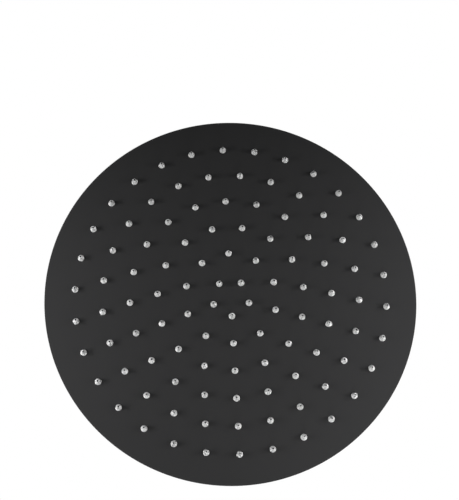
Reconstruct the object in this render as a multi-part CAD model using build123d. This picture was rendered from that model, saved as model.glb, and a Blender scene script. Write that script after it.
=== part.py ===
from build123d import *
from math import acos, asin, cos, degrees, radians, sin, sqrt
import os

# Rain shower head, 300 mm, with a ball joint at its inlet.
# Millimetres, +Z up. The origin is on the inlet's axis, where its thread starts below the lead-in chamfer.
# The disc hangs level below the inlet, with its nozzles pointing down.

# Inlet socket for a G 1/2 pipe end, in the nut above the ball
thread_radius = 9.316
thread_length = 8.2
mouth_chamfer = 0.6
undercut_depth = 1.234
nut_wall = 0.85
nut_floor = 2.2
nut_edge_radius = 1.3
nut_chamfer_length = 3.15

# Ball, its neck and the water way through it
ball_radius = 11.0
neck_radius = 8.6
neck_flare = 0.27
neck_length = 1.2
water_way_radius = 4.5
outlet_wall = 1.5

# Washer, filter and flow regulator inside the inlet
washer_fit_gap = 0.116
washer_bore_radius = 5.4
washer_thickness = 2.0
washer_room = 1.2
filter_lap = 1.4
filter_thickness = 0.4
filter_gap_width = 1.5
filter_gap_pitch = 2.1
filter_gap_count = 5
regulator_step = 1.5
regulator_fit_gap = 0.1
regulator_length = 4.2
regulator_room = 0.4
regulator_post_radius = 1.6
control_ring_section = 1.1
control_channel_depth = 1.8
control_hole_radius = 0.45
control_hole_count = 6
side_ring_section = 1.4

# Motion of the ball joint about each level axis; angles are taken at the ball's centre from straight up
tilt_each_way_angle = 8.0
lip_spare_angle = 2.2
liner_spare_angle = 1.0
seal_top_spare_angle = 4.6
seal_bottom_spare_angle = 1.9
liner_bottom_angle = 88.0
hub_outlet_angle = 157.0
running_gap = 0.05
liner_thickness = 0.7
seal_thickness = 1.2

# Collar that holds the ball in the hub
collar_wall = 1.5
collar_lip_height = 1.3
collar_mouth_flare = 0.95
collar_edge_radius = 2.1
collar_seat_below_ball = 0.6
collar_foot_gap = 0.4
joint_thread_gap = 0.05

# Hub, brazed on the middle of the back plate
hub_rim_wall = 1.1
hub_flange_width = 6.6
hub_flange_thickness = 2.0
hub_flange_edge = 0.8
hub_spigot_step = 0.9
hub_spigot_gap = 0.1
hub_nose_wall = 3.8
hub_outlet_lip = 1.2
ball_above_dome = 9.19

# Disc: a pressed back plate and a flat face plate, welded together round the rim
disc_radius = 150.0
back_sheet = 1.0
face_sheet = 1.0
rim_edge_chamfer = 0.3
weld_width = 9.0
shoulder_width = 6.5
shoulder_height = 1.9
bead_land_width = 5.0
dome_height = 10.0
dome_land_radius = 27.0
pressed_bend_radius = 6.0

# Silicone nozzle mat, one moulding
ring_count = 6
first_ring_nozzle_count = 5
first_ring_radius = 15.0
last_ring_to_rim = 24.25
mat_thickness = 1.2
mat_edge_gap = 1.2
mat_bead_width = 3.5
nozzle_base_radius = 2.6
nozzle_tip_radius = 1.3
nozzle_length = 5.4
nozzle_hole_gap = 0.05
nozzle_bore_radius = 0.55
nozzle_side_count = 8
bore_side_count = 6

# Radii worked out from the sizes
undercut_radius = thread_radius + undercut_depth
nut_radius = undercut_radius + nut_wall
waist_radius = neck_radius + neck_flare
outlet_flat_radius = water_way_radius + outlet_wall
regulator_bore_radius = water_way_radius + regulator_step
filter_radius = regulator_bore_radius + filter_lap
washer_radius = thread_radius - washer_fit_gap
liner_inner = ball_radius + running_gap
liner_outer = liner_inner + liner_thickness
collar_seat = liner_outer + running_gap
seal_inner = ball_radius + running_gap
seal_outer = seal_inner + seal_thickness
hub_seat = seal_outer + running_gap
joint_thread_radius = hub_seat + hub_rim_wall
collar_bore_radius = joint_thread_radius + joint_thread_gap
collar_radius = collar_bore_radius + collar_wall
hub_flange_radius = joint_thread_radius + hub_flange_width
hub_spigot_radius = joint_thread_radius - hub_spigot_step
ring_pitch = (disc_radius - last_ring_to_rim - first_ring_radius) / (ring_count - 1)

# Angles: the full tilt is the two level tilts together
neck_angle = degrees(asin(neck_radius / ball_radius))
full_tilt_angle = degrees(acos(cos(radians(tilt_each_way_angle)) ** 2))
equator_angle = 90.0
collar_lip_angle = neck_angle + full_tilt_angle + lip_spare_angle
liner_top_angle = collar_lip_angle + tilt_each_way_angle + liner_spare_angle
seal_top_angle = equator_angle + full_tilt_angle + seal_top_spare_angle
seal_bottom_angle = hub_outlet_angle - full_tilt_angle - seal_bottom_spare_angle

# Heights, from the inlet down
washer_seat_z = -thread_length - washer_thickness - washer_room
filter_seat_z = washer_seat_z - filter_thickness
regulator_seat_z = filter_seat_z - regulator_length - regulator_room
nut_bottom_z = washer_seat_z - nut_floor
waist_z = nut_bottom_z - nut_chamfer_length
neck_z = waist_z - neck_length
ball_z = neck_z - sqrt(ball_radius**2 - neck_radius**2)
collar_seat_z = ball_z - collar_seat_below_ball
dome_z = ball_z - ball_above_dome
flange_top_z = dome_z + hub_flange_thickness
disc_z = dome_z - dome_height
face_top_z = disc_z - back_sheet
face_bottom_z = face_top_z - face_sheet


def on_sphere(radius, angle):
    # Radius from the axis and height of a point at an angle from straight up at the ball's centre
    return (radius * sin(radians(angle)), ball_z + radius * cos(radians(angle)))


def sphere_arc(radius, start, end):
    return CenterArc((0, ball_z), radius, equator_angle - start, start - end)


def turned(outline):
    # A closed outline of radius and height, turned round the axis
    return revolve(Plane.XZ * make_face(outline), Axis.Z)


def ring_of(radius, inner, bottom, height):
    # A plain flat ring
    outline = Rectangle(radius - inner, height, align=(Align.MIN, Align.MIN))
    return revolve(Plane.XZ * Pos(inner, bottom) * outline, Axis.Z)


def prisms(side_count, radius, places, start_z, height):
    # Many upright prisms with flat sides at the same radius from their own centres
    sketch = Sketch() + [place * RegularPolygon(radius, side_count, major_radius=False) for place in places]
    return extrude(Plane.XY.offset(start_z) * sketch, height)


def make_ball_nut():
    flat_angle = 180 - degrees(asin(outlet_flat_radius / ball_radius))
    flat_z = on_sphere(ball_radius, flat_angle)[1]
    edge = nut_edge_radius
    outline = Polyline(
        (nut_radius, mouth_chamfer - edge),
        (nut_radius, nut_bottom_z),
        (waist_radius, waist_z),
        (neck_radius, neck_z),
    )
    outline += sphere_arc(ball_radius, neck_angle, flat_angle)
    outline += Polyline(
        (outlet_flat_radius, flat_z),
        (water_way_radius, flat_z),
        (water_way_radius, regulator_seat_z),
        (regulator_bore_radius, regulator_seat_z),
        (regulator_bore_radius, filter_seat_z),
        (filter_radius + regulator_fit_gap, filter_seat_z),
        (filter_radius + regulator_fit_gap, washer_seat_z),
        (undercut_radius, washer_seat_z),
        (undercut_radius, -thread_length),
        (thread_radius, -thread_length),
        (thread_radius, 0),
        (thread_radius + mouth_chamfer, mouth_chamfer),
        (nut_radius - edge, mouth_chamfer),
    )
    outline += CenterArc((nut_radius - edge, mouth_chamfer - edge), edge, 90, -90)
    return turned(outline)


def make_inlet_washer():
    return ring_of(washer_radius, washer_bore_radius, washer_seat_z, washer_thickness)


def make_filter_screen():
    # Woven wire drawn as a thin disc with square gaps
    places = []
    half = filter_gap_count // 2
    reach = filter_radius - filter_gap_pitch
    for column in range(-half, half + 1):
        for row in range(-half, half + 1):
            x = column * filter_gap_pitch
            y = row * filter_gap_pitch
            if sqrt(x * x + y * y) < reach:
                places.append(Pos(x, y))
    sketch = Circle(filter_radius) - [place * Rectangle(filter_gap_width, filter_gap_width) for place in places]
    return extrude(Plane.XY.offset(filter_seat_z) * sketch, filter_thickness)


def regulator_sizes():
    body_radius = regulator_bore_radius - regulator_fit_gap
    groove_radius = regulator_bore_radius - side_ring_section
    groove_z = regulator_seat_z + side_ring_section / 2
    channel_radius = regulator_post_radius + control_ring_section + 2 * running_gap
    return body_radius, groove_radius, groove_z, channel_radius


def make_regulator_body():
    body_radius, groove_radius, groove_z, channel_radius = regulator_sizes()
    top_z = regulator_seat_z + regulator_length
    body = ring_of(body_radius, 0, regulator_seat_z, regulator_length)
    groove = ring_of(body_radius, groove_radius, groove_z, side_ring_section)
    channel_z = top_z - control_channel_depth
    channel = ring_of(channel_radius, regulator_post_radius, channel_z, control_channel_depth)
    hole_circle = (regulator_post_radius + channel_radius) / 2
    holes = [
        place * Cylinder(control_hole_radius, regulator_length, align=(Align.CENTER, Align.CENTER, Align.MIN))
        for place in PolarLocations(hole_circle, control_hole_count)
    ]
    return body - groove - channel - Pos(0, 0, regulator_seat_z) * Compound(children=holes)


def make_regulator_side_ring():
    # Square-cut rubber ring in the body's groove, which seals on the bore
    groove_radius, groove_z = regulator_sizes()[1:3]
    return ring_of(regulator_bore_radius, groove_radius, groove_z, side_ring_section)


def make_regulator_control_ring():
    # Square-cut rubber ring over the flow holes, which closes on them as the pressure rises
    inner = regulator_post_radius + running_gap
    channel_z = regulator_seat_z + regulator_length - control_channel_depth
    return ring_of(inner + control_ring_section, inner, channel_z, control_ring_section)


def make_shell_ring(inner, outer, top_angle, bottom_angle):
    # A ring between two spheres round the ball's centre
    outline = sphere_arc(outer, top_angle, bottom_angle)
    outline += Line(on_sphere(outer, bottom_angle), on_sphere(inner, bottom_angle))
    outline += sphere_arc(inner, bottom_angle, top_angle)
    outline += Line(on_sphere(inner, top_angle), on_sphere(outer, top_angle))
    return turned(outline)


def make_friction_ring():
    return make_shell_ring(liner_inner, liner_outer, liner_top_angle, liner_bottom_angle)


def make_seal_cup():
    return make_shell_ring(seal_inner, seal_outer, seal_top_angle, seal_bottom_angle)


def make_collar():
    lip_radius, lip_z = on_sphere(collar_seat, collar_lip_angle)
    top_z = lip_z + collar_lip_height
    foot_z = flange_top_z + collar_foot_gap
    seat_end_angle = equator_angle + degrees(asin(collar_seat_below_ball / collar_seat))
    edge = collar_edge_radius
    outline = Polyline(
        (collar_radius, top_z - edge),
        (collar_radius, foot_z),
        (collar_bore_radius, foot_z),
        (collar_bore_radius, collar_seat_z),
        on_sphere(collar_seat, seat_end_angle),
    )
    outline += sphere_arc(collar_seat, seat_end_angle, collar_lip_angle)
    outline += Polyline(
        (lip_radius, lip_z),
        (lip_radius + collar_mouth_flare, top_z),
        (collar_radius - edge, top_z),
    )
    outline += CenterArc((collar_radius - edge, top_z - edge), edge, 90, -90)
    return turned(outline)


def make_hub():
    rim_angle = equator_angle + degrees(asin(collar_seat_below_ball / hub_seat))
    outlet_radius, outlet_z = on_sphere(hub_seat, hub_outlet_angle)
    inside_z = dome_z - back_sheet
    nose_z = outlet_z - hub_outlet_lip
    outline = Polyline(
        on_sphere(hub_seat, rim_angle),
        (joint_thread_radius, collar_seat_z),
        (joint_thread_radius, flange_top_z),
        (hub_flange_radius - hub_flange_edge, flange_top_z),
        (hub_flange_radius, flange_top_z - hub_flange_edge),
        (hub_flange_radius, dome_z),
        (hub_spigot_radius, dome_z),
        (hub_spigot_radius, inside_z),
        (outlet_radius + hub_nose_wall, nose_z),
        (outlet_radius, nose_z),
        (outlet_radius, outlet_z),
    )
    outline += sphere_arc(hub_seat, hub_outlet_angle, rim_angle)
    return turned(outline)


def make_back_plate():
    # One sheet pressed into a shallow dome: its flat border is welded to the face plate
    shoulder_foot = disc_radius - weld_width
    shoulder_top = shoulder_foot - shoulder_width
    bead_land_end = shoulder_top - bead_land_width
    hole_radius = hub_spigot_radius + hub_spigot_gap
    border_top = FilletPolyline(
        (disc_radius - rim_edge_chamfer, disc_z),
        (shoulder_foot, disc_z),
        (shoulder_top, disc_z + shoulder_height),
        (bead_land_end, disc_z + shoulder_height),
        radius=pressed_bend_radius,
    )
    outline = border_top + Polyline(
        (bead_land_end, disc_z + shoulder_height),
        (dome_land_radius, dome_z),
        (hole_radius, dome_z),
        (hole_radius, dome_z - back_sheet),
        (dome_land_radius, dome_z - back_sheet),
        (bead_land_end, disc_z + shoulder_height - back_sheet),
        (shoulder_top, disc_z + shoulder_height - back_sheet),
        (shoulder_foot, disc_z - back_sheet),
        (disc_radius, disc_z - back_sheet),
        (disc_radius, disc_z - rim_edge_chamfer),
        (disc_radius - rim_edge_chamfer, disc_z),
    )
    return turned(outline)


def nozzle_places():
    places = []
    for ring in range(ring_count):
        radius = first_ring_radius + ring * ring_pitch
        count = first_ring_nozzle_count * (ring + 1)
        places += list(PolarLocations(radius, count, start_angle=-90))
    return places


def make_face_plate():
    hole_radius = nozzle_base_radius + nozzle_hole_gap
    plate = extrude(Plane.XY.offset(face_bottom_z) * Circle(disc_radius), face_sheet)
    rim = plate.edges().filter_by(GeomType.CIRCLE).sort_by(Axis.Z)[0]
    plate = chamfer(rim, rim_edge_chamfer)
    return plate - prisms(nozzle_side_count, hole_radius, nozzle_places(), face_bottom_z, face_sheet)


def make_nozzle_mat():
    # A sheet with a sealing bead round its edge, which the back plate presses on the face plate
    mat_radius = disc_radius - weld_width - shoulder_width - mat_edge_gap
    bead_z = disc_z + shoulder_height - back_sheet
    mat = extrude(Plane.XY.offset(face_top_z) * Circle(mat_radius), mat_thickness)
    mat += ring_of(mat_radius, mat_radius - mat_bead_width, face_top_z, bead_z - face_top_z)
    tip_z = face_bottom_z - nozzle_length
    wide = RegularPolygon(nozzle_base_radius, nozzle_side_count, major_radius=False)
    narrow = RegularPolygon(nozzle_tip_radius, nozzle_side_count, major_radius=False)
    shank = extrude(Plane.XY.offset(face_bottom_z) * wide, face_sheet)
    taper = loft([Plane.XY.offset(tip_z) * narrow, Plane.XY.offset(face_bottom_z) * wide])
    nozzle = shank + taper
    mat = mat.fuse(*[place * nozzle for place in nozzle_places()])
    bore_height = face_top_z + mat_thickness - tip_z
    return mat - prisms(bore_side_count, nozzle_bore_radius, nozzle_places(), tip_z, bore_height)


makers = {
    "ball_nut": make_ball_nut,
    "inlet_washer": make_inlet_washer,
    "filter_screen": make_filter_screen,
    "regulator_body": make_regulator_body,
    "regulator_side_ring": make_regulator_side_ring,
    "regulator_control_ring": make_regulator_control_ring,
    "friction_ring": make_friction_ring,
    "seal_cup": make_seal_cup,
    "collar": make_collar,
    "hub": make_hub,
    "back_plate": make_back_plate,
    "face_plate": make_face_plate,
    "nozzle_mat": make_nozzle_mat,
}

os.makedirs("parts", exist_ok=True)
for node, make in makers.items():
    export_step(make(), f"parts/{node}.step")
    print(node)
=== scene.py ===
import bpy
import bmesh
from math import asin, cos, degrees, pi, radians, sin
from mathutils import Matrix, Vector


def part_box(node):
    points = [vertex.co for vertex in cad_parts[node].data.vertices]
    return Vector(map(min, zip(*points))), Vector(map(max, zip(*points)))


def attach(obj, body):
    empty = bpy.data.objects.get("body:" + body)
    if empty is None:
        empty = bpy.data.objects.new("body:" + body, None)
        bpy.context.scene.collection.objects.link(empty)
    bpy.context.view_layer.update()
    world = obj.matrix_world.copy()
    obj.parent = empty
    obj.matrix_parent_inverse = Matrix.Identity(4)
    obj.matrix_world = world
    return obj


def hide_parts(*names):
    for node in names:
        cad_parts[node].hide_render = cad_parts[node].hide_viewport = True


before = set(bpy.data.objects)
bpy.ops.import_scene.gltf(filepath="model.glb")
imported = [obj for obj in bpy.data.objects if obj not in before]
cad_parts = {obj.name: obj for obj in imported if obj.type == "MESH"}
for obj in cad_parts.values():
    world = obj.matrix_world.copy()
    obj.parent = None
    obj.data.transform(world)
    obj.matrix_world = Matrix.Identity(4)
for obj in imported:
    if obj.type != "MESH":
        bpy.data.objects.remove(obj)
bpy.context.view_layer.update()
print("frame loaded")

mm = 0.001  # sizes below are in millimetres, Blender's are in metres


# Node building, for shaders and for geometry alike

class Value:
    # A socket that takes part in sums: each sum adds its Math node
    def __init__(self, net, socket):
        self.net = net
        self.socket = socket

    def __add__(self, other):
        return self.net.math("ADD", self, other)

    def __radd__(self, other):
        return self.net.math("ADD", other, self)

    def __sub__(self, other):
        return self.net.math("SUBTRACT", self, other)

    def __rsub__(self, other):
        return self.net.math("SUBTRACT", other, self)

    def __mul__(self, other):
        return self.net.math("MULTIPLY", self, other)

    def __rmul__(self, other):
        return self.net.math("MULTIPLY", other, self)

    def __truediv__(self, other):
        return self.net.math("DIVIDE", self, other)

    def __rtruediv__(self, other):
        return self.net.math("DIVIDE", other, self)

    def of(self, operation, *others):
        # Any other Math operation, such as value.of("SINE") or value.of("MINIMUM", 1.0)
        return self.net.math(operation, self, *others)

    def clamped(self):
        return self.of("MAXIMUM", 0.0).of("MINIMUM", 1.0)


class Made:
    # A node that was added: its outputs by name or number
    def __init__(self, net, node):
        self.net = net
        self.node = node

    def __getitem__(self, name):
        return Value(self.net, self.node.outputs[name])


class Net:
    # A node tree, for shading or for geometry
    def __init__(self, tree):
        self.tree = tree

    def add(self, kind, settings=None, inputs=None):
        # Settings go on the node first; each input is a number, a Value or a list of Values
        node = self.tree.nodes.new(kind)
        for name, setting in (settings or {}).items():
            if name == "itemCount":
                while len(node.index_switch_items) < setting:
                    node.index_switch_items.new()
            else:
                setattr(node, name, setting)
        for name, value in (inputs or {}).items():
            if isinstance(value, Value):
                self.tree.links.new(value.socket, node.inputs[name])
            elif isinstance(value, list):
                for part in value:
                    self.tree.links.new(part.socket, node.inputs[name])
            else:
                node.inputs[name].default_value = value
        return Made(self, node)

    def math(self, operation, *terms):
        return self.add("ShaderNodeMath", {"operation": operation}, dict(enumerate(terms)))["Value"]

    def point(self, x, y, z):
        return self.add("ShaderNodeCombineXYZ", None, {"X": x, "Y": y, "Z": z})["Vector"]

    def parts(self, vector):
        split = self.add("ShaderNodeSeparateXYZ", None, {"Vector": vector})
        return split["X"], split["Y"], split["Z"]


# Materials

def newMaterial(name):
    material = bpy.data.materials.new(name)
    material.use_nodes = True
    net = Net(material.node_tree)
    shader = material.node_tree.nodes["Principled BSDF"]
    return material, net, shader


def setShader(net, shader, **values):
    # Numbers go on the shader's own sockets, Values are linked to them
    for name, value in values.items():
        socket = shader.inputs[name.replace("_", " ")]
        if isinstance(value, Value):
            net.tree.links.new(value.socket, socket)
        else:
            socket.default_value = value


def objectPlace(net):
    return net.add("ShaderNodeTexCoord")["Object"]


def noise(net, place, scale, detail):
    # It lies around 0.5, so noise - 0.5 goes both ways
    return net.add("ShaderNodeTexNoise", None, {"Vector": place, "Scale": scale, "Detail": detail})["Fac"]


def mixColours(net, share, first, second):
    # Inputs 0, 6 and 7 and output 2 are a Mix node's sockets for colours
    return net.add("ShaderNodeMix", {"data_type": "RGBA"}, {0: share, 6: first, 7: second})[2]


def bump(net, height, distance):
    return net.add("ShaderNodeBump", None, {"Height": height, "Distance": distance})["Normal"]


# In each finish grain, wave, cloud and lines give the scale and the detail of their noise
coat = {
    "dark": (0.0245, 0.0245, 0.0249, 1.0),
    "light": (0.0305, 0.0305, 0.031, 1.0),
    "darkShift": 0.1,
    "roughness": 0.9,
    "specular": 0.015,
    "grain": (1500.0, 2.0),
    "grainShare": 0.9,
    "grainRoughness": 0.14,
    "grainHeight": 0.000016,
    "wave": (260.0, 1.0),
    "waveHeight": 0.0000015,
    "cloud": (22.0, 3.0),
    "cloudShare": 0.3,
    "cloudRoughness": 0.08,
}
brassCoat = {
    **coat,
    "dark": (0.0195, 0.0195, 0.0199, 1.0),
    "light": (0.0245, 0.0245, 0.025, 1.0),
    "roughness": 0.75,
}


def makeCoatMaterial(name, coat):
    # Matte black powder coat: a fine grain over a faint orange peel
    material, net, shader = newMaterial(name)
    place = objectPlace(net)
    grain = noise(net, place, *coat["grain"])
    wave = noise(net, place, *coat["wave"])
    cloud = noise(net, place, *coat["cloud"])
    share = grain * coat["grainShare"] + cloud * coat["cloudShare"] - coat["darkShift"]
    grainGloss = (grain - 0.5) * coat["grainRoughness"]
    cloudGloss = (cloud - 0.5) * coat["cloudRoughness"]
    height = grain * coat["grainHeight"] + wave * coat["waveHeight"]
    setShader(
        net, shader,
        Base_Color=mixColours(net, share.of("MINIMUM", 1.0), coat["dark"], coat["light"]),
        Roughness=coat["roughness"] + grainGloss + cloudGloss,
        Specular_IOR_Level=coat["specular"],
        Normal=bump(net, height, 1.0),  # the height is in metres already
    )
    return material


silicone = {
    # places along a nozzle run from 0 behind the face, over the tip, to 1 up its bore
    "milky": (0.89, 0.89, 0.88, 1.0),
    "deep": (0.18, 0.19, 0.2, 1.0),
    # painted shade: the bore is coloured near black, standing in for the shadow up the water passage
    "inside": (0.03, 0.03, 0.03, 1.0),
    "milkiness": 0.78,
    # painted shade: the tip, which the lamps below light most, is coloured a little darker from this share
    # along the nozzle
    "tipStart": 0.42,
    "tipClearness": 0.03,
    "boreStart": 0.73,
    "ribs": 7,
    "ribDepth": 0.35,
    "ribRise": 6.0,
    "ribDelay": 0.85,
    "linesAround": 9.0,
    "linesAlong": 0.5,
    "lines": (2.2, 2.0),
    "lineDepth": 1.2,
    "lineHeight": 0.00004,
    "cloud": (900.0, 2.0),
    "cloudDepth": 0.25,
    "roughness": 0.2,
    "roughnessSpread": 0.15,
    "transmission": 0.2,
    "ior": 1.41,
}


def makeSiliconeMaterial(silicone):
    # Milky moulded silicone with soft ribs and flow lines down each nozzle, a little painted shade over the
    # tip and near-black painted shade in the bore
    material, net, shader = newMaterial("clearSilicone")
    wrap = net.add("ShaderNodeUVMap", {"uv_map": "nozzleWrap"})["UV"]
    around, along, unused = net.parts(wrap)
    linePlace = net.point(around * silicone["linesAround"], along * silicone["linesAlong"], 0.0)
    lines = noise(net, linePlace, *silicone["lines"])
    cloud = noise(net, objectPlace(net), *silicone["cloud"])
    ribs = (around * (2 * pi * silicone["ribs"])).of("SINE")
    fromBase = (along * silicone["ribRise"] - silicone["ribDelay"]).clamped()
    # painted shade mask: the tip of each nozzle
    tipShadeMask = along.of("GREATER_THAN", silicone["tipStart"])
    # painted shade mask: the bore, from the given share along the nozzle to its end
    paintedBoreShadeMask = along.of("GREATER_THAN", silicone["boreStart"])
    share = fromBase * ribs * silicone["ribDepth"]
    share += (lines - 0.5) * silicone["lineDepth"] + (cloud - 0.5) * silicone["cloudDepth"]
    # the tip's painted shade takes a little off the milky share
    share += silicone["milkiness"] - tipShadeMask * silicone["tipClearness"]
    wall = mixColours(net, share.clamped(), silicone["deep"], silicone["milky"])
    setShader(
        net, shader,
        # painted shade: the bore takes the near-black colour
        Base_Color=mixColours(net, paintedBoreShadeMask, wall, silicone["inside"]),
        Roughness=silicone["roughness"] + (cloud - 0.5) * silicone["roughnessSpread"],
        Transmission_Weight=silicone["transmission"],
        IOR=silicone["ior"],
        Normal=bump(net, lines, silicone["lineHeight"]),
    )
    return material


rubber = {
    "dark": (0.012, 0.012, 0.012, 1.0),
    "light": (0.032, 0.032, 0.031, 1.0),
    "metallic": 0.0,
    "roughness": 0.62,
    "roughnessSpread": 0.2,
    "cloud": (300.0, 3.0),
    "grain": (2400.0, 2.0),
    "grainHeight": 0.00001,
}
nylon = {
    "dark": (0.02, 0.02, 0.02, 1.0),
    "light": (0.035, 0.035, 0.035, 1.0),
    "metallic": 0.0,
    "roughness": 0.45,
    "roughnessSpread": 0.15,
    "cloud": (400.0, 3.0),
    "grainHeight": 0.00001,
}
acetal = {
    "dark": (0.42, 0.48, 0.52, 1.0),
    "light": (0.54, 0.6, 0.63, 1.0),
    "metallic": 0.0,
    "roughness": 0.3,
    "roughnessSpread": 0.12,
    "cloud": (500.0, 2.0),
    "grainHeight": 0.000008,
}
wire = {
    "dark": (0.48, 0.48, 0.47, 1.0),
    "light": (0.66, 0.66, 0.65, 1.0),
    "metallic": 1.0,
    "roughness": 0.3,
    "roughnessSpread": 0.2,
    "cloud": (3000.0, 2.0),
    "grainHeight": 0.000004,
}


def makeInnerMaterial(name, finish):
    # A cloudy colour, and a grain in gloss and height: the cloud itself where the finish names no other
    material, net, shader = newMaterial(name)
    place = objectPlace(net)
    cloud = noise(net, place, *finish["cloud"])
    grain = noise(net, place, *finish["grain"]) if "grain" in finish else cloud
    setShader(
        net, shader,
        Base_Color=mixColours(net, cloud, finish["dark"], finish["light"]),
        Metallic=finish["metallic"],
        Roughness=finish["roughness"] + (grain - 0.5) * finish["roughnessSpread"],
        Normal=bump(net, grain, finish["grainHeight"]),
    )
    return material


materials = {
    "sheet": makeCoatMaterial("coatedSheet", coat),
    "brass": makeCoatMaterial("coatedBrass", brassCoat),
    "silicone": makeSiliconeMaterial(silicone),
    "rubber": makeInnerMaterial("blackRubber", rubber),
    "nylon": makeInnerMaterial("blackNylon", nylon),
    "acetal": makeInnerMaterial("regulatorAcetal", acetal),
    "wire": makeInnerMaterial("screenWire", wire),
}
print("materials made")


# Turned shapes

def softened(corners, stepsPerCorner=6, lead=0.06):
    # An outline of (radius, height) or (radius, height, edge radius), with its edges rounded.
    # A point just before and after each rounding keeps the shading of the flats even.
    done = []
    count = len(corners)
    for index, corner in enumerate(corners):
        here = Vector(corner[:2])
        if len(corner) < 3:
            done.append(here)
            continue
        before = (Vector(corners[index - 1][:2]) - here).normalized()
        after = (Vector(corners[(index + 1) % count][:2]) - here).normalized()
        half = before.angle(after) / 2
        away = corner[2] / sin(half)
        back = corner[2] / (sin(half) / cos(half))
        middle = here + (before + after).normalized() * away
        start = here + before * back - middle
        turn = start.angle_signed(here + after * back - middle)
        done.append(here + before * (back + lead))
        for step in range(stepsPerCorner + 1):
            angle = -turn * step / stepsPerCorner
            done.append(middle + Matrix.Rotation(angle, 2) @ start)
        done.append(here + after * (back + lead))
    return [tuple(point) for point in done]


def onBall(centre, radius, angle):
    # Radius and height of a point on a sphere, at an angle from straight up at its centre
    return (radius * sin(radians(angle)), centre + radius * cos(radians(angle)))


def ballArc(centre, radius, start, end, step=4.0):
    count = round(abs(end - start) / step)
    return [onBall(centre, radius, start + (end - start) * i / count) for i in range(count + 1)]


def turnedMesh(name, outline, sides, closed=True):
    # The outline turned round the axis, in metres
    mesh = bpy.data.meshes.new(name)
    verts = []
    for radius, height in outline:
        for side in range(sides):
            angle = 2 * pi * side / sides
            verts.append((radius * cos(angle) * mm, radius * sin(angle) * mm, height * mm))
    faces = []
    rows = len(outline)
    for row in range(rows if closed else rows - 1):
        for side in range(sides):
            nextSide = (side + 1) % sides
            low = row * sides
            high = ((row + 1) % rows) * sides
            faces.append((low + side, low + nextSide, high + nextSide, high + side))
    mesh.from_pydata(verts, [], faces)
    return mesh


def finishMesh(mesh, sharpAngle=32.0, mergeDistance=0.000002):
    # Merges doubles, points the faces outwards and sets which edges stay sharp
    work = bmesh.new()
    work.from_mesh(mesh)
    bmesh.ops.remove_doubles(work, verts=work.verts, dist=mergeDistance)
    loose = [vert for vert in work.verts if not vert.link_faces]
    bmesh.ops.delete(work, geom=loose, context="VERTS")
    bmesh.ops.recalc_face_normals(work, faces=work.faces)
    openEdges = sum(1 for edge in work.edges if len(edge.link_faces) != 2)
    triangles = sum(len(face.verts) - 2 for face in work.faces)
    work.to_mesh(mesh)
    work.free()
    mesh.shade_smooth()
    mesh.set_sharp_from_angle(angle=radians(sharpAngle))
    print("  ", mesh.name, triangles, "triangles,", openEdges, "open edges")


def addPiece(name, mesh, body, replaced, material=None):
    piece = bpy.data.objects.new(name, mesh)
    bpy.context.scene.collection.objects.link(piece)
    if material:
        mesh.materials.clear()
        mesh.materials.append(material)
    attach(piece, body)
    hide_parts(replaced)


def growMesh(name, sizes, build, material, start=None):
    # Builds a node tree with the sizes as its named inputs, runs it once and keeps the plain mesh
    tree = bpy.data.node_groups.new(name, "GeometryNodeTree")
    interface = tree.interface
    interface.new_socket("Geometry", in_out="INPUT", socket_type="NodeSocketGeometry")
    interface.new_socket("Geometry", in_out="OUTPUT", socket_type="NodeSocketGeometry")
    sockets = {}
    for label, size in sizes.items():
        kind = "NodeSocketInt" if isinstance(size, int) else "NodeSocketFloat"
        sockets[label] = interface.new_socket(label, in_out="INPUT", socket_type=kind).identifier
    net = Net(tree)
    shape = build(net, net.add("NodeGroupInput"))
    whole = net.add("GeometryNodeRealizeInstances", None, {"Geometry": shape})["Geometry"]
    painted = net.add("GeometryNodeSetMaterial", None, {"Geometry": whole, "Material": material})["Geometry"]
    net.add("NodeGroupOutput", None, {"Geometry": painted})
    carrier = bpy.data.objects.new(name + "Carrier", start or bpy.data.meshes.new(name + "Start"))
    bpy.context.scene.collection.objects.link(carrier)
    modifier = carrier.modifiers.new("grow", "NODES")
    modifier.node_group = tree
    for label, size in sizes.items():
        modifier[sockets[label]] = size
    mesh = bpy.data.meshes.new_from_object(carrier.evaluated_get(bpy.context.evaluated_depsgraph_get()))
    carrier.modifiers.remove(modifier)
    bpy.data.objects.remove(carrier)
    mesh.name = name
    return mesh


# Node steps that several pieces share; given is the tree's Group Input, with the piece's sizes

def join(net, *shapes):
    return net.add("GeometryNodeJoinGeometry", None, {"Geometry": list(shapes)})["Geometry"]


def weld(net, shape, distance=0.000003):
    return net.add("GeometryNodeMergeByDistance", None, {"Geometry": shape, "Distance": distance})["Geometry"]


def circle(net, radius, sides):
    return net.add("GeometryNodeCurvePrimitiveCircle", None, {"Resolution": sides, "Radius": radius})["Curve"]


def movedTo(net, shape, place):
    return net.add("GeometryNodeSetPosition", None, {"Geometry": shape, "Position": place})["Geometry"]


def onCircle(net, radius, angle, height):
    return net.point(radius * angle.of("COSINE"), radius * angle.of("SINE"), height)


def unitGrid(net, sides, rows):
    # A grid to bend round the axis: its share of a turn across, its row along and how far along that is
    grid = net.add(
        "GeometryNodeMeshGrid", None,
        {"Size X": 1.0, "Size Y": 1.0, "Vertices X": sides + 1, "Vertices Y": rows},
    )["Mesh"]
    across, along, unused = net.parts(net.add("GeometryNodeInputPosition")["Position"])
    along = along + 0.5
    return grid, across + 0.5, (along * (rows - 1.0)).of("ROUND"), along


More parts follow.
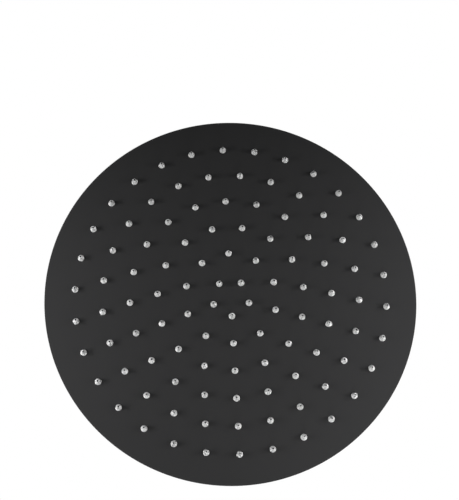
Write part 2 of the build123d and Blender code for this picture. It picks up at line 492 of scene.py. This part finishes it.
def revolve(net, outline, sides, wrapName=None):
    # Turns an outline of (radius, height) values round the Z axis, one row for each point
    rows = len(outline)
    grid, around, row, along = unitGrid(net, sides, rows)
    if wrapName:
        grid = net.add(
            "GeometryNodeStoreNamedAttribute",
            {"data_type": "FLOAT2", "domain": "CORNER"},
            {"Geometry": grid, "Name": wrapName, "Value": net.point(around, along, 0.0)},
        )["Geometry"]
    points = {number + 1: net.point(*pair, 0.0) for number, pair in enumerate(outline)}
    chosen = net.add(
        "GeometryNodeIndexSwitch", {"data_type": "VECTOR", "itemCount": rows}, {"Index": row, **points}
    )["Output"]
    radius, height, unused = net.parts(chosen)
    return movedTo(net, grid, onCircle(net, radius, around * (2 * pi), height))


def ringPlaces(net, given):
    # One point for each nozzle: every ring has as many more as the first ring has, so the rings
    # before a ring hold first * ring * (ring - 1) / 2 of them, and the root turns that round
    first = given["First ring count"]
    ringCount = given["Rings"]
    count = ringCount * (ringCount + 1.0) * 0.5 * first
    index = net.add("GeometryNodeInputIndex")["Index"]
    spare = 0.0005  # against a root that falls just short
    ring = ((1.0 + (1.0 + 8.0 * (index / first)).of("SQRT")) * 0.5 + spare).of("FLOOR")
    before = first * ring * (ring - 1.0) * 0.5
    angle = (index - before) / (first * ring) * (2 * pi) - pi / 2
    radius = given["First ring radius"] + (ring - 1.0) * given["Ring pitch"]
    place = onCircle(net, radius, angle, 0.0)
    return net.add("GeometryNodePoints", None, {"Count": count, "Position": place})["Points"]


def onPlaces(net, places, shape):
    placed = net.add("GeometryNodeInstanceOnPoints", None, {"Points": places, "Instance": shape})["Instances"]
    return net.add("GeometryNodeRealizeInstances", None, {"Geometry": placed})["Geometry"]


def perforated(net, places, outer, hole, height):
    # A flat round sheet with a hole at each place; outer and hole are circles
    edges = join(net, outer, onPlaces(net, places, hole))
    filled = net.add("GeometryNodeFillCurve", None, {"Curve": edges})["Mesh"]
    lifted = {"Geometry": filled, "Translation": net.point(0.0, 0.0, height)}
    return net.add("GeometryNodeTransform", None, lifted)["Geometry"]


# Spray face: the flat sheet with its holes

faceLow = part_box("face_plate")[0].z
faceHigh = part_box("face_plate")[1].z

disc = {
    # the face plate and the back plate meet at this rim
    "radius": 150.0,
    "rimEdge": 0.3,
    "sides": 240,
}
rings = {
    "Rings": 6,
    "First ring count": 5,
    "First ring radius": 15.0 * mm,
    "Ring pitch": 22.15 * mm,
}
face = {
    **rings,
    "Disc radius": disc["radius"] * mm,
    "Rim edge": disc["rimEdge"] * mm,
    "Rim sides": disc["sides"],
    "Hole radius": 2.65 * mm,
    "Hole edge": 0.15 * mm,
    "Hole sides": 20,
    "Flat margin": 0.08 * mm,
    "Low": faceLow,
    "High": faceHigh,
}


def rounding(radius, low, edge, margin, inward):
    # A quarter round from the lower flat up to the wall; the margin keeps the flat's shading level
    side = 1.0 if inward else -1.0
    points = [(radius + (edge + margin) * side, low)]
    for degree in (0, 22.5, 45, 67.5, 90):
        turn = radians(degree)
        points.append((radius + edge * (side * (1 - sin(turn))), low + edge * (1 - cos(turn))))
    return points


def buildFace(net, given):
    places = ringPlaces(net, given)
    low = given["Low"]
    high = given["High"]
    margin = given["Flat margin"]
    rim, rimEdge, rimSides = given["Disc radius"], given["Rim edge"], given["Rim sides"]
    hole, holeEdge, holeSides = given["Hole radius"], given["Hole edge"], given["Hole sides"]
    flatRim = circle(net, rim - rimEdge - margin, rimSides)
    flatHole = circle(net, hole + holeEdge + margin, holeSides)
    under = perforated(net, places, flatRim, flatHole, low)
    over = perforated(net, places, circle(net, rim, rimSides), circle(net, hole, holeSides), high)
    holeWall = revolve(net, rounding(hole, low, holeEdge, margin, True) + [(hole, high)], holeSides)
    rimWall = revolve(net, rounding(rim, low, rimEdge, margin, False) + [(rim, high)], rimSides)
    return weld(net, join(net, under, over, onPlaces(net, places, holeWall), rimWall))


def makeSprayFace(face):
    mesh = growMesh("sprayFace", face, buildFace, materials["sheet"])
    finishMesh(mesh, sharpAngle=20.0)
    addPiece("sprayFace", mesh, "head", "face_plate")


makeSprayFace(face)
print("spray face made")


# Nozzle mat: one moulding, with a bead round its edge and all the nozzles

mat = {
    **rings,
    "Mat radius": 133.3 * mm,
    "Mat sides": 120,
    "Mat thickness": 1.2 * mm,
    "Bead width": 3.5 * mm,
    "Bead top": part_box("nozzle_mat")[1].z,
    "Sheet bottom": faceHigh,
    "Face": faceLow,
    "Tip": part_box("nozzle_mat")[0].z,
    "Base radius": 2.6 * mm,
    "Base collar": 0.1 * mm,
    "Tip radius": 1.12 * mm,
    "Tip round": 0.28 * mm,
    "Tip corner height": 0.1 * mm,
    "Tip corner inset": 0.06 * mm,
    "Tip flat inset": 0.2 * mm,
    "Bore radius": 0.55 * mm,
    "Bore mouth": 0.18 * mm,
    "Bore mouth depth": 0.3 * mm,
    "Bore top radius": 1.6 * mm,
    "Nozzle sides": 20,
}
# The hollow flare of a nozzle: share of the step from tip to base radius, share of the way down
nozzleFlare = [(0.86, 0.07), (0.60, 0.24), (0.33, 0.46), (0.12, 0.66), (0.0, 0.78)]
# The bore's widening: multiple of its radius, share of the way down
boreFlare = [(1.3, 0.45), (2.4, 0.0)]


def nozzleOutline(given):
    # From the mat's sheet down the outside, round the tip and up the bore
    base = given["Base radius"]
    tip = given["Tip radius"]
    bore = given["Bore radius"]
    face = given["Face"]
    end = given["Tip"]
    drop = end - face
    top = given["Sheet bottom"] + given["Mat thickness"]
    outline = [(base, given["Sheet bottom"]), (base, face - given["Base collar"])]
    outline += [(tip + (base - tip) * step, face + drop * down) for step, down in nozzleFlare]
    outline += [
        (tip, end + given["Tip round"]),
        (tip - given["Tip corner inset"], end + given["Tip corner height"]),
        (tip - given["Tip flat inset"], end),
        (bore + given["Bore mouth"], end),
        (bore, end + given["Bore mouth depth"]),
    ]
    outline += [(bore * wider, face + drop * down) for wider, down in boreFlare]
    return outline + [(given["Bore top radius"], top)]


def buildMat(net, given):
    places = ringPlaces(net, given)
    outer = given["Mat radius"]
    inner = outer - given["Bead width"]
    sides = given["Mat sides"]
    nozzleSides = given["Nozzle sides"]
    beadTop = given["Bead top"]
    low = given["Sheet bottom"]
    top = low + given["Mat thickness"]
    baseHole = circle(net, given["Base radius"], nozzleSides)
    boreHole = circle(net, given["Bore top radius"], nozzleSides)
    under = perforated(net, places, circle(net, outer, sides), baseHole, low)
    over = perforated(net, places, circle(net, inner, sides), boreHole, top)
    bead = revolve(net, [(outer, low), (outer, beadTop), (inner, beadTop), (inner, top)], sides)
    nozzle = revolve(net, nozzleOutline(given), nozzleSides, "nozzleWrap")
    return weld(net, join(net, under, over, bead, onPlaces(net, places, nozzle)))


def makeNozzleMat(mat):
    mesh = growMesh("nozzleMat", mat, buildMat, materials["silicone"])
    finishMesh(mesh, sharpAngle=40.0)
    addPiece("nozzleMat", mesh, "head", "nozzle_mat")


makeNozzleMat(mat)
print("nozzle mat made")


# Back plate: the pressed dome, seen from above

back = {
    **disc,
    "sheet": 1.0,
    "weldWidth": 9.0,
    "footBend": 5.0,
    "shoulderWidth": 6.5,
    "shoulderHeight": 1.9,
    "shoulderBend": 5.0,
    "beadLand": 5.0,
    "beadLandBend": 12.0,
    "domeHeight": 10.0,
    "domeLand": 27.0,
    "domeBend": 14.0,
    "holeRadius": 12.6,
}


def makeBackPlate(back):
    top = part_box("back_plate")[1].z / mm
    rimTop = top - back["domeHeight"]
    foot = back["radius"] - back["weldWidth"]
    shoulder = foot - back["shoulderWidth"]
    landEnd = shoulder - back["beadLand"]
    landTop = rimTop + back["shoulderHeight"]
    upper = [
        (back["radius"], rimTop, back["rimEdge"]),
        (foot, rimTop, back["footBend"]),
        (shoulder, landTop, back["shoulderBend"]),
        (landEnd, landTop, back["beadLandBend"]),
        (back["domeLand"], top, back["domeBend"]),
        (back["holeRadius"], top),
    ]
    lower = [(radius, height - back["sheet"]) for radius, height, *edge in reversed(upper)]
    mesh = turnedMesh("backPlate", softened(upper + lower), back["sides"])
    finishMesh(mesh)
    addPiece("backPlate", mesh, "head", "back_plate", materials["sheet"])


makeBackPlate(back)
print("back plate made")


# Hub, collar and ball nut

joint = {
    "ballCentre": -24.81,
    "ballRadius": 11.0,
    "collarSeat": 11.8,
    "hubSeat": 12.3,
    "threadRadius": 13.4,
    "seatBelow": 0.6,
    "lipAngle": 64.9,
    "outletAngle": 157.0,
    "sides": 96,
}
collarSizes = {
    "radius": 14.95,
    "boreRadius": 13.45,
    "top": -18.5,
    "foot": -31.6,
    "mouthFlare": 0.95,
    "edge": 2.1,
    "footEdge": 0.4,
    "mouthEdge": 0.15,
}
hubSizes = {
    "flangeRadius": 20.0,
    "flangeTop": -32.0,
    "flangeEdge": 0.8,
    "flangeFillet": 0.3,
    "dome": -34.0,
    "spigotRadius": 12.5,
    "noseWall": 3.8,
    "outletLip": 1.2,
}


def seatEnd(joint, seat):
    # Angle at which a seat of that radius ends, just below the ball's middle
    return 90 + degrees(asin(joint["seatBelow"] / seat))


def makeCollar(joint, sizes):
    centre = joint["ballCentre"]
    seat = joint["collarSeat"]
    lipRadius = onBall(centre, seat, joint["lipAngle"])[0]
    corners = [
        (sizes["radius"], sizes["top"], sizes["edge"]),
        (sizes["radius"], sizes["foot"], sizes["footEdge"]),
        (sizes["boreRadius"], sizes["foot"]),
        (sizes["boreRadius"], centre - joint["seatBelow"]),
    ]
    corners += ballArc(centre, seat, seatEnd(joint, seat), joint["lipAngle"])
    corners += [(lipRadius + sizes["mouthFlare"], sizes["top"], sizes["mouthEdge"])]
    mesh = turnedMesh("ballCollar", softened(corners), joint["sides"])
    finishMesh(mesh)
    addPiece("ballCollar", mesh, "head", "collar", materials["brass"])


def makeHub(joint, sizes, sheet):
    centre = joint["ballCentre"]
    seat = joint["hubSeat"]
    outletRadius, outletHeight = onBall(centre, seat, joint["outletAngle"])
    nose = outletHeight - sizes["outletLip"]
    outline = softened([
        (joint["threadRadius"], centre - joint["seatBelow"]),
        (joint["threadRadius"], sizes["flangeTop"], sizes["flangeFillet"]),
        (sizes["flangeRadius"], sizes["flangeTop"], sizes["flangeEdge"]),
        (sizes["flangeRadius"], sizes["dome"]),
        (sizes["spigotRadius"], sizes["dome"]),
        (sizes["spigotRadius"], sizes["dome"] - sheet),
        (outletRadius + sizes["noseWall"], nose),
        (outletRadius, nose),
    ])
    outline += ballArc(centre, seat, joint["outletAngle"], seatEnd(joint, seat))
    mesh = turnedMesh("ballHub", outline, joint["sides"])
    finishMesh(mesh)
    addPiece("ballHub", mesh, "head", "hub", materials["brass"])


nutSizes = {
    "topRadius": 11.35,
    "footRadius": 11.2,
    "top": 0.6,
    "edge": 1.3,
    "foot": -13.6,
    "footEdge": 0.4,
    "waistRadius": 8.87,
    "waist": -16.75,
    "waistEdge": 0.25,
    "neckRadius": 8.6,
    "neck": -17.95,
    "threadRadius": 9.316,
    "threadEnd": -8.2,
    "undercutRadius": 10.55,
    "washerSeat": -11.4,
    "filterRadius": 7.5,
    "filterSeat": -11.8,
    "regulatorRadius": 6.0,
    "regulatorSeat": -16.4,
    "waterWay": 4.5,
    "outletWall": 1.5,
}
pipeThread = {
    "Pitch": 1.814 * mm,
    "Depth": 1.12 * mm,
    "Core radius": nutSizes["threadRadius"] * mm,
    "Top": 0.0,
    "Length": -nutSizes["threadEnd"] * mm,
    "Fade": 0.7 * mm,
    "Rows per pitch": 8,
    "Sides": joint["sides"],
}


def buildThread(net, given):
    # Rows that climb as a right-handed screw; a row's depth is the same all along it
    rowCount = ((given["Length"] / given["Pitch"] + 1.0) * given["Rows per pitch"]).of("CEIL")
    grid, around, row, unused = unitGrid(net, given["Sides"], rowCount + 1.0)
    turns = row / given["Rows per pitch"]
    bottom = given["Top"] - given["Length"]
    height = bottom + (turns + around - 1.0) * given["Pitch"]
    height = height.of("MAXIMUM", bottom).of("MINIMUM", given["Top"])
    fromEnd = (height - bottom).of("MINIMUM", given["Top"] - height)
    fade = (fromEnd / given["Fade"]).of("MINIMUM", 1.0)
    groove = 0.5 - 0.5 * (turns * (2 * pi)).of("COSINE")
    radius = given["Core radius"] + given["Depth"] * groove * fade
    thread = movedTo(net, grid, onCircle(net, radius, around * (2 * pi), height))
    return weld(net, join(net, given["Geometry"], thread))


def makeBallNut(joint, sizes):
    centre = joint["ballCentre"]
    ball = joint["ballRadius"]
    neckAngle = degrees(asin(sizes["neckRadius"] / ball))
    flatAngle = 180 - degrees(asin((sizes["waterWay"] + sizes["outletWall"]) / ball))
    flat = onBall(centre, ball, flatAngle)[1]
    outline = softened([
        (sizes["threadRadius"], 0.0),
        (sizes["threadRadius"] + sizes["top"], sizes["top"]),
        (sizes["topRadius"], sizes["top"], sizes["edge"]),
        (sizes["footRadius"], sizes["foot"], sizes["footEdge"]),
        (sizes["waistRadius"], sizes["waist"], sizes["waistEdge"]),
        (sizes["neckRadius"], sizes["neck"]),
    ])[:-1]  # the ball's arc starts with the neck's point
    outline += ballArc(centre, ball, neckAngle, flatAngle)
    outline += [
        (sizes["waterWay"], flat),
        (sizes["waterWay"], sizes["regulatorSeat"]),
        (sizes["regulatorRadius"], sizes["regulatorSeat"]),
        (sizes["regulatorRadius"], sizes["filterSeat"]),
        (sizes["filterRadius"], sizes["filterSeat"]),
        (sizes["filterRadius"], sizes["washerSeat"]),
        (sizes["undercutRadius"], sizes["washerSeat"]),
        (sizes["undercutRadius"], sizes["threadEnd"]),
        (sizes["threadRadius"], sizes["threadEnd"]),
    ]
    start = turnedMesh("ballNutStart", outline, joint["sides"], closed=False)
    mesh = growMesh("ballNut", pipeThread, buildThread, materials["brass"], start)
    finishMesh(mesh, sharpAngle=38.0)
    addPiece("ballNut", mesh, "inlet", "ball_nut")


makeCollar(joint, collarSizes)
makeHub(joint, hubSizes, back["sheet"])
makeBallNut(joint, nutSizes)
print("joint made")


# Inlet washer and woven filter screen

washer = {
    "radius": 9.2,
    "boreRadius": 5.4,
    "edge": 0.25,
    "stepsPerEdge": 4,
    "sides": 72,
}


def makeWasher(washer):
    low, high = (corner.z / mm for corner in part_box("inlet_washer"))
    outer, inner, edge = washer["radius"], washer["boreRadius"], washer["edge"]
    corners = [(outer, high, edge), (outer, low, edge), (inner, low, edge), (inner, high, edge)]
    mesh = turnedMesh("sealWasher", softened(corners, washer["stepsPerEdge"]), washer["sides"])
    finishMesh(mesh)
    addPiece("sealWasher", mesh, "inlet", "inlet_washer", materials["rubber"])


screenLow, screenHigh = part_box("filter_screen")
screen = {
    "Wire count": 19,
    "Wire pitch": 0.76 * mm,
    "Wire radius": 0.085 * mm,
    "Wire points": 73,
    "Wire sides": 6,
    "Wave": 0.09 * mm,
    "Radius": 7.1 * mm,
    "Middle": (screenLow.z + screenHigh.z) / 2,
    "Rim width": 0.7 * mm,
    "Rim half": 0.2 * mm,
    "Rim radius": 7.4 * mm,
    "Rim sides": 60,
}


def buildWires(net, given, alongY):
    # One set of wires in the screen's circle, each over and under those of the other set
    pitch = given["Wire pitch"]
    offset = 0.0 if alongY else 0.5
    index = net.add("GeometryNodeInputIndex")["Index"]
    across = (index - (given["Wire count"] - 1.0) * 0.5 + offset) * pitch
    least = 0.0000001  # keeps the root real at the outermost wires
    half = (given["Radius"] * given["Radius"] - across * across).of("MAXIMUM", least).of("SQRT")
    place = net.point(across, 0.0, 0.0) if alongY else net.point(0.0, across, 0.0)
    points = net.add("GeometryNodePoints", None, {"Count": given["Wire count"], "Position": place})["Points"]
    end = (0.0, 1.0, 0.0) if alongY else (1.0, 0.0, 0.0)
    start = tuple(-part for part in end)
    line = net.add("GeometryNodeCurvePrimitiveLine", None, {"Start": start, "End": end})["Curve"]
    line = net.add("GeometryNodeResampleCurve", None, {"Curve": line, "Count": given["Wire points"]})["Curve"]
    placed = net.add(
        "GeometryNodeInstanceOnPoints", None,
        {"Points": points, "Instance": line, "Scale": net.point(half, half, 1.0)},
    )["Instances"]
    placed = net.add("GeometryNodeRealizeInstances", None, {"Geometry": placed})["Geometry"]
    x, y, unused = net.parts(net.add("GeometryNodeInputPosition")["Position"])
    wave = (x * (pi / pitch)).of("COSINE") * (y * (pi / pitch)).of("SINE") * given["Wave"]
    lift = given["Middle"] + wave * (1.0 if alongY else -1.0)
    woven = movedTo(net, placed, net.point(x, y, lift))
    profile = circle(net, given["Wire radius"], given["Wire sides"])
    return net.add(
        "GeometryNodeCurveToMesh", None, {"Curve": woven, "Profile Curve": profile, "Fill Caps": True}
    )["Mesh"]


def buildScreen(net, given):
    # Two sets of wires in a flat rim
    outer = given["Rim radius"]
    inner = outer - given["Rim width"]
    low = given["Middle"] - given["Rim half"]
    high = given["Middle"] + given["Rim half"]
    section = [(outer, low), (outer, high), (inner, high), (inner, low), (outer, low)]
    rim = weld(net, revolve(net, section, given["Rim sides"]))
    return join(net, buildWires(net, given, True), buildWires(net, given, False), rim)


def makeScreen(screen):
    mesh = growMesh("filterWeave", screen, buildScreen, materials["wire"])
    finishMesh(mesh, sharpAngle=45.0)
    addPiece("filterWeave", mesh, "inlet", "filter_screen")


makeScreen(screen)
makeWasher(washer)
print("inlet parts made")


# Hidden parts that keep their solid shape get their own finish

keptNodes = {
    "regulator_body": "acetal",
    "regulator_side_ring": "rubber",
    "regulator_control_ring": "rubber",
    "seal_cup": "rubber",
    "friction_ring": "nylon",
}
for node, finish in keptNodes.items():
    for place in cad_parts[node].material_slots:
        place.material = materials[finish]


# Stage, lights and camera, in metres

floorSettings = {
    "half": 6.0,
    "height": -1.7,
    "dark": (0.8, 0.8, 0.8, 1.0),
    "light": (0.84, 0.84, 0.84, 1.0),
    "grain": (3.0, 2.0),
    "roughness": 0.9,
}
white = (1.0, 1.0, 1.0, 1.0)


def seenDirectly(net):
    # 1 for rays from the camera and for those that show the background in gloss or glass
    path = net.add("ShaderNodeLightPath")
    return (path["Is Camera Ray"] + path["Is Glossy Ray"] + path["Is Transmission Ray"]).of("MINIMUM", 1.0)


def makeStage(settings):
    half = settings["half"]
    height = settings["height"]
    mesh = bpy.data.meshes.new("floor")
    corners = [(-half, -half, height), (half, -half, height), (half, half, height), (-half, half, height)]
    mesh.from_pydata(corners, [], [(0, 1, 2, 3)])
    floor = bpy.data.objects.new("floor", mesh)
    bpy.context.scene.collection.objects.link(floor)
    material, net, shader = newMaterial("paleFloor")
    grain = noise(net, objectPlace(net), *settings["grain"])
    setShader(
        net, shader,
        Base_Color=mixColours(net, grain, settings["dark"], settings["light"]),
        Roughness=settings["roughness"],
    )
    glow = net.add("ShaderNodeEmission", None, {"Color": white, "Strength": 1.0})["Emission"]
    plain = Value(net, shader.outputs[0])
    mix = net.add("ShaderNodeMixShader", None, {0: seenDirectly(net), 1: plain, 2: glow})
    output = material.node_tree.nodes["Material Output"]
    net.tree.links.new(mix["Shader"].socket, output.inputs["Surface"])
    mesh.materials.append(material)


lights = {
    # name: place, width and height, power, aim, spread in degrees
    # the two long side strips have a grid, so the nozzles' shadows lie level all over the face
    "leftStrip": ((0.39, -0.07, -0.233), (0.04, 0.42), 0.465, (0.149, -0.07, -0.046), 65),
    "rightStrip": ((-0.39, -0.07, -0.233), (0.04, 0.42), 0.43, (-0.149, -0.07, -0.046), 65),
    "lowerStrip": ((-0.11, -0.23, -0.166), (0.4, 0.05), 0.29, (0.0, -0.04, -0.046), 180),
    "frontStrip": ((0.0, -1.5, -0.446), (0.6, 0.12), 4.0, (0.0, 0.0, -0.046), 180),
    "upperSoftbox": ((0.6, -0.7, 0.5), (0.6, 0.6), 9.0, (0.0, 0.0, -0.03), 180),
    "backSoftbox": ((-0.7, 0.55, 0.4), (0.5, 0.5), 9.0, (0.0, 0.0, -0.03), 180),
}
ambient = 0.035


def makeLights(lights):
    for name, (place, size, power, aim, spread) in lights.items():
        light = bpy.data.lights.new(name, "AREA")
        light.shape = "RECTANGLE"
        light.size, light.size_y = size
        light.energy = power
        light.spread = radians(spread)
        lamp = bpy.data.objects.new(name, light)
        bpy.context.scene.collection.objects.link(lamp)
        lamp.location = place
        lamp.rotation_euler = (Vector(aim) - Vector(place)).to_track_quat("-Z", "Z").to_euler()
        lamp.visible_camera = False


def makeWorld(ambient):
    # White where it is seen, and a weak even light on the object
    world = bpy.data.worlds.new("studio")
    bpy.context.scene.world = world
    world.use_nodes = True
    net = Net(world.node_tree)
    background = world.node_tree.nodes["Background"]
    background.inputs["Color"].default_value = white
    strength = ambient + seenDirectly(net) * (1.0 - ambient)
    net.tree.links.new(strength.socket, background.inputs["Strength"])


view = {
    # below the spray face, as in the lower picture: place in millimetres, focal length and height in pixels
    "place": (42.0, -246.2, -1119.7),
    "right": (-0.9982, -0.0542, -0.0255),
    "up": (-0.0457, 0.9648, -0.259),
    "focal": 1366.4,
    "frameHeight": 500,
    "sensor": 36.0,
    "nearest": 0.01,
    "farthest": 50.0,
}


def makeCamera(view):
    data = bpy.data.cameras.new("studioCamera")
    data.sensor_width = view["sensor"]
    data.sensor_fit = "AUTO"
    data.lens = view["focal"] * view["sensor"] / view["frameHeight"]
    data.clip_start = view["nearest"]
    data.clip_end = view["farthest"]
    camera = bpy.data.objects.new("studioCamera", data)
    bpy.context.scene.collection.objects.link(camera)
    right = Vector(view["right"]).normalized()
    up = Vector(view["up"])
    up = (up - right * up.dot(right)).normalized()
    turn = Matrix((right, up, right.cross(up))).transposed().to_4x4()
    camera.matrix_world = Matrix.Translation(Vector(view["place"]) * mm) @ turn
    bpy.context.scene.camera = camera


makeStage(floorSettings)
makeLights(lights)
makeWorld(ambient)
makeCamera(view)
bpy.context.scene.view_settings.view_transform = "Standard"
print("stage, lights and camera made")

bpy.context.view_layer.update()
